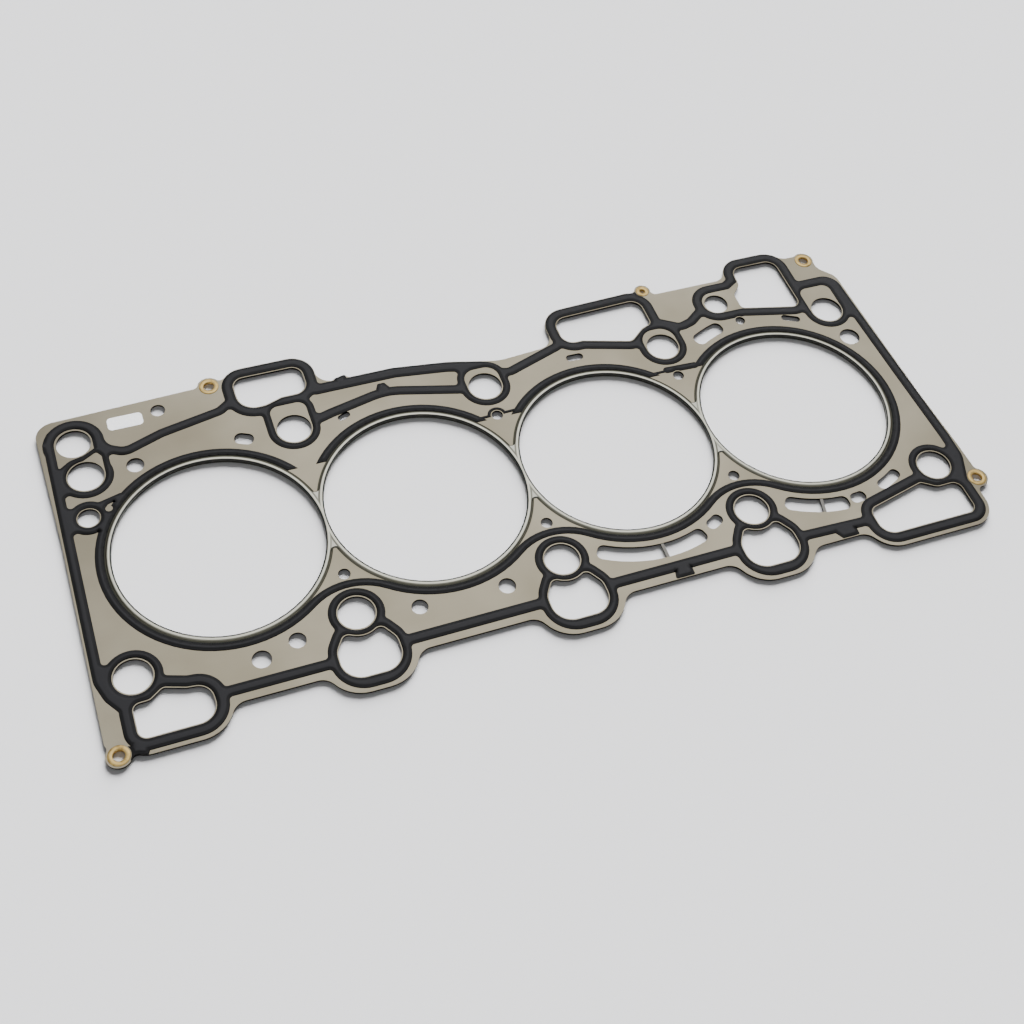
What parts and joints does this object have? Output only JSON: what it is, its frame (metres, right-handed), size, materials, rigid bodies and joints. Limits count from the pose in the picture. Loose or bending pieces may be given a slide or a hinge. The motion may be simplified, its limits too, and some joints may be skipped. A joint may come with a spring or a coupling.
{
  "type": "cylinder head gasket",
  "caption": "Multi-layer steel cylinder head gasket for an in-line four-cylinder engine, with embossed bore beads, moulded black rubber seals and brass eyelets.",
  "frame": {"origin": "middle of the row of bores, on the face that meets the engine block", "axes": "+X along the row of bores, +Y to the rear side with the single oil feed hole, +Z towards the cylinder head"},
  "size_m": [0.4017, 0.1823, 0.002],
  "materials": {
    "coated_steel": "satin warm grey coated spring steel",
    "bare_steel": "bare steel",
    "seal_rubber": "satin moulded rubber",
    "eyelet_brass": "satin brass"
  },
  "bodies": {
    "root": {"bottom_layer": "coated_steel", "carrier_layer": "coated_steel", "top_layer": "coated_steel", "lower_stopper": "bare_steel", "upper_stopper": "bare_steel", "bottom_seal": "seal_rubber", "top_seal": "seal_rubber", "eyelet_1": "eyelet_brass", "eyelet_2": "eyelet_brass", "eyelet_3": "eyelet_brass", "eyelet_4": "eyelet_brass", "eyelet_5": "eyelet_brass"}
  },
  "joints": []
}
